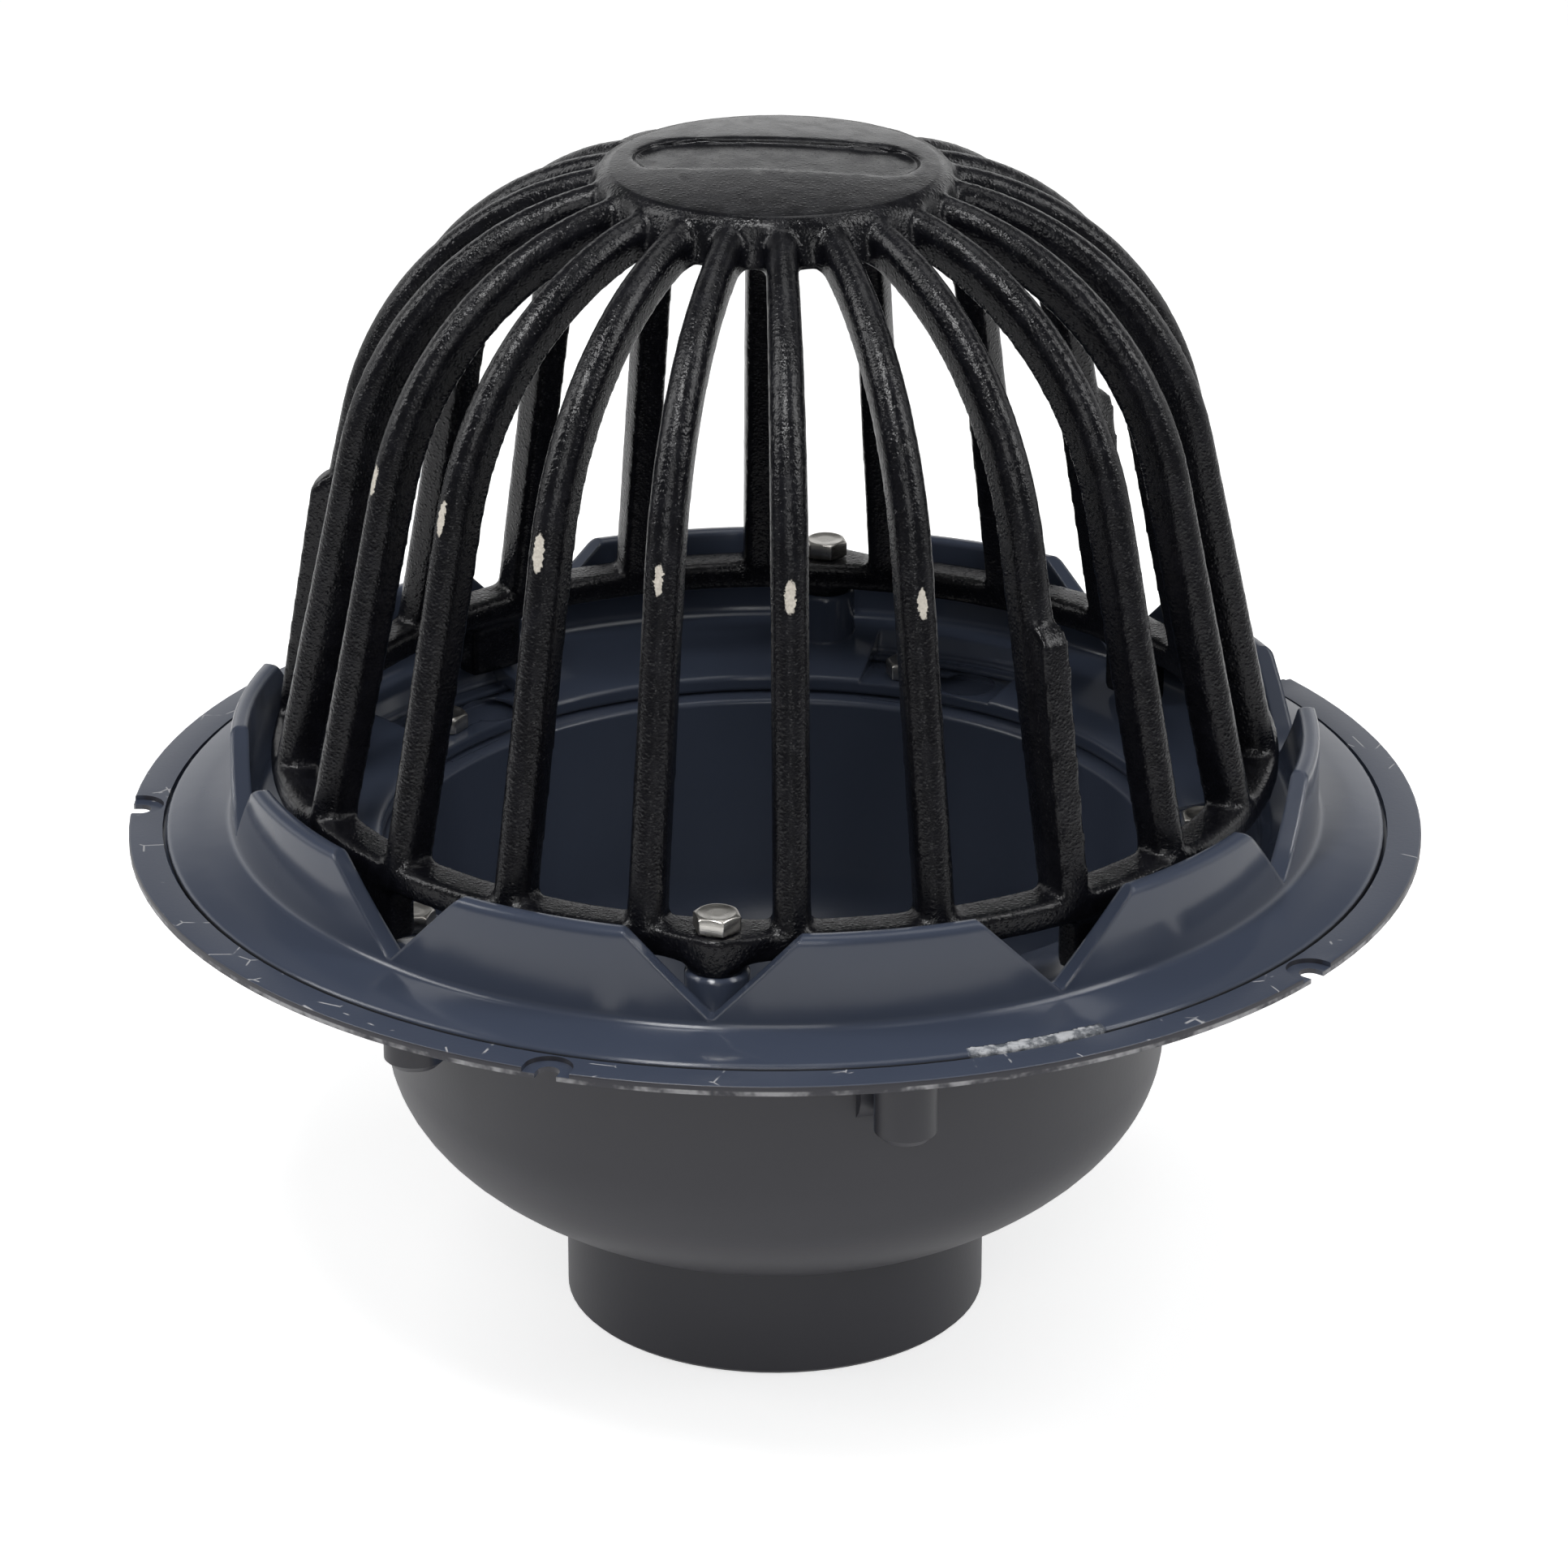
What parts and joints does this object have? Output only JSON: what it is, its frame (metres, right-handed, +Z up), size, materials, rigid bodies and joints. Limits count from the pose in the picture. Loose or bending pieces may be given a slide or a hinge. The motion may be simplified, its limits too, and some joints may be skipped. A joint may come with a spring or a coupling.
{
  "type": "roof drain",
  "caption": "Flat roof drain: a moulded sump with flange and outlet spigot, a bolted collar with a notched dam, and a ribbed cast-iron dome strainer.",
  "frame": {"origin": "centre of the outlet spigot's lower end face, on which the drain stands", "axes": "+Z up along the drain's axis; -Y towards the strainer bolt at the front, +Y towards the one at the rear"},
  "size_m": [0.346, 0.346, 0.3244],
  "materials": {
    "body_plastic": "moulded dark grey plastic, fine satin",
    "collar_plastic": "moulded blue-grey plastic, glossy",
    "cast_iron": "rough sand-cast surface, dipped black",
    "stainless_steel": "plain stainless fasteners",
    "brass": "knurled moulded-in inserts"
  },
  "bodies": {
    "root": {"drain_body": "body_plastic", "dam_collar": "collar_plastic", "dome_strainer": "cast_iron", "dome_bolt_front": "stainless_steel", "dome_bolt_rear": "stainless_steel", "post_insert_front": "brass", "post_insert_rear": "brass", "clamp_bolt_1": "stainless_steel", "clamp_bolt_2": "stainless_steel", "clamp_bolt_3": "stainless_steel", "clamp_bolt_4": "stainless_steel", "clamp_bolt_5": "stainless_steel", "clamp_insert_1": "brass", "clamp_insert_2": "brass", "clamp_insert_3": "brass", "clamp_insert_4": "brass", "clamp_insert_5": "brass"}
  },
  "joints": []
}
